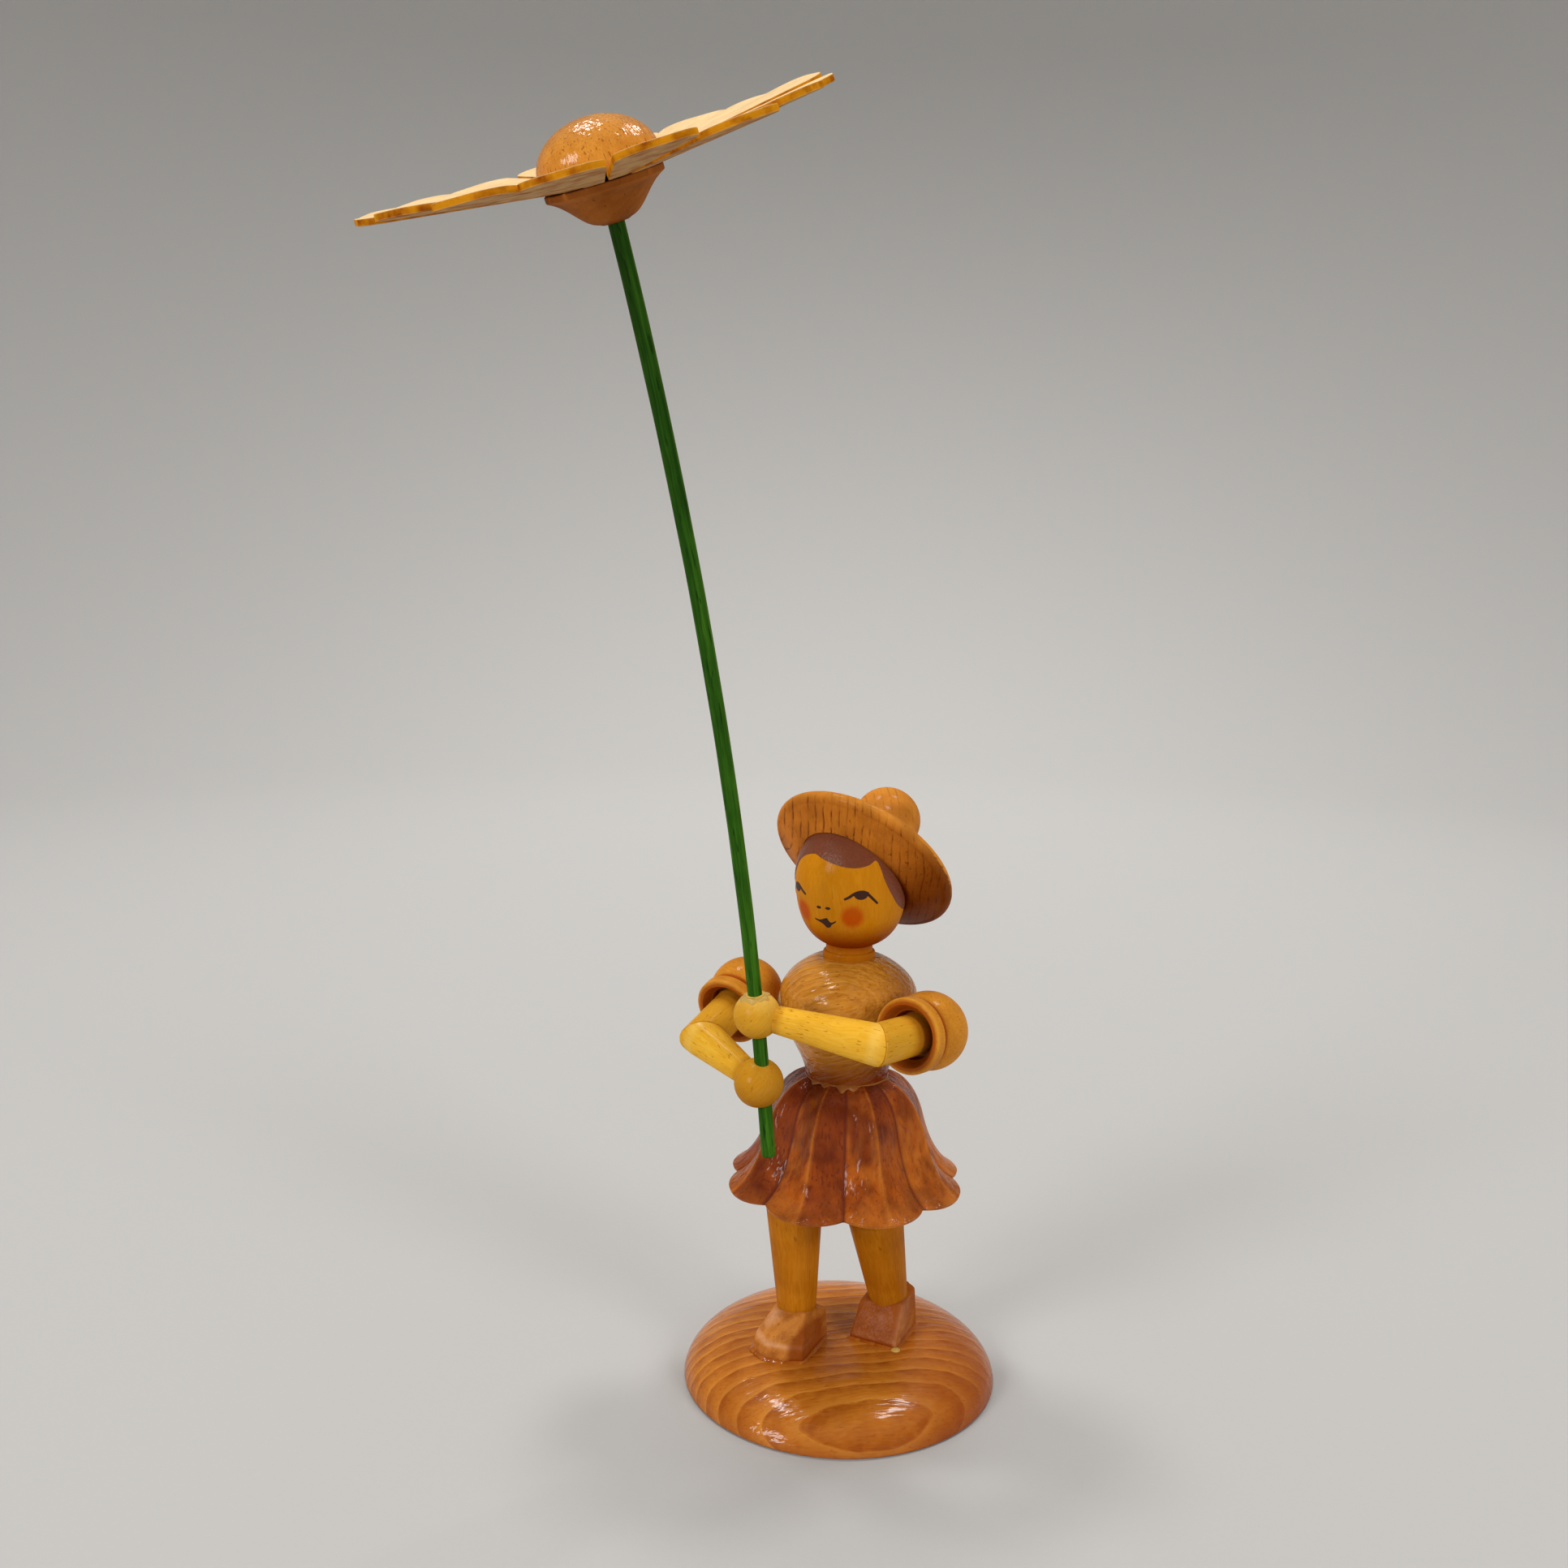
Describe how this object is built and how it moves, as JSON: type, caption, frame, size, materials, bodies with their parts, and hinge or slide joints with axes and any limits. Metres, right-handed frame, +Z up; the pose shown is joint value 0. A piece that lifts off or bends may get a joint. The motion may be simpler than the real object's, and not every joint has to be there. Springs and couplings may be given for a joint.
{
  "type": "flower child figurine",
  "caption": "Turned and carved wooden girl in a sun hat, striding on a round base and holding a tall long-stemmed daisy in both hands; a free-standing shelf ornament.",
  "frame": {"origin": "centre of the base's flat underside", "axes": "+Z up, -Y the way the girl faces, +X towards her left side"},
  "size_m": [0.0519, 0.095, 0.1704],
  "materials": {
    "base_wood": "honey stain, gloss varnish",
    "shoe_wood": "reddish brown stain, satin",
    "leg_wood": "golden stain, satin",
    "skirt_wood": "mahogany stain, gloss varnish",
    "torso_wood": "golden brown stain, gloss varnish",
    "face_wood": "golden stain, satin, painted face and hair",
    "hat_wood": "orange brown stain, satin",
    "sleeve_wood": "orange brown stain, satin",
    "arm_wood": "pale yellow, satin",
    "dowel_wood": "bare",
    "stem_wood": "green stain, satin",
    "calyx_wood": "red brown stain, satin",
    "button_wood": "golden stain, gloss varnish",
    "petal_veneer": "pale veneer, satin"
  },
  "bodies": {
    "root": {"base": "base_wood", "skirt": "skirt_wood", "torso": "torso_wood", "neck": "face_wood", "head": "face_wood", "hat": "hat_wood", "stem": "stem_wood", "calyx": "calyx_wood", "flower_button": "button_wood", "shoe_left": "shoe_wood", "leg_left": "leg_wood", "sleeve_left": "sleeve_wood", "shoulder_dowel_left": "dowel_wood", "upper_arm_left": "arm_wood", "forearm_left": "arm_wood", "hand_left": "arm_wood", "shoe_right": "shoe_wood", "leg_right": "leg_wood", "sleeve_right": "sleeve_wood", "shoulder_dowel_right": "dowel_wood", "upper_arm_right": "arm_wood", "forearm_right": "arm_wood", "hand_right": "arm_wood", "petal_01": "petal_veneer", "petal_02": "petal_veneer", "petal_03": "petal_veneer", "petal_04": "petal_veneer", "petal_05": "petal_veneer", "petal_06": "petal_veneer", "petal_07": "petal_veneer", "petal_08": "petal_veneer", "petal_09": "petal_veneer", "petal_10": "petal_veneer", "petal_11": "petal_veneer", "petal_12": "petal_veneer", "petal_13": "petal_veneer", "petal_14": "petal_veneer", "petal_15": "petal_veneer", "petal_16": "petal_veneer"}
  },
  "joints": []
}
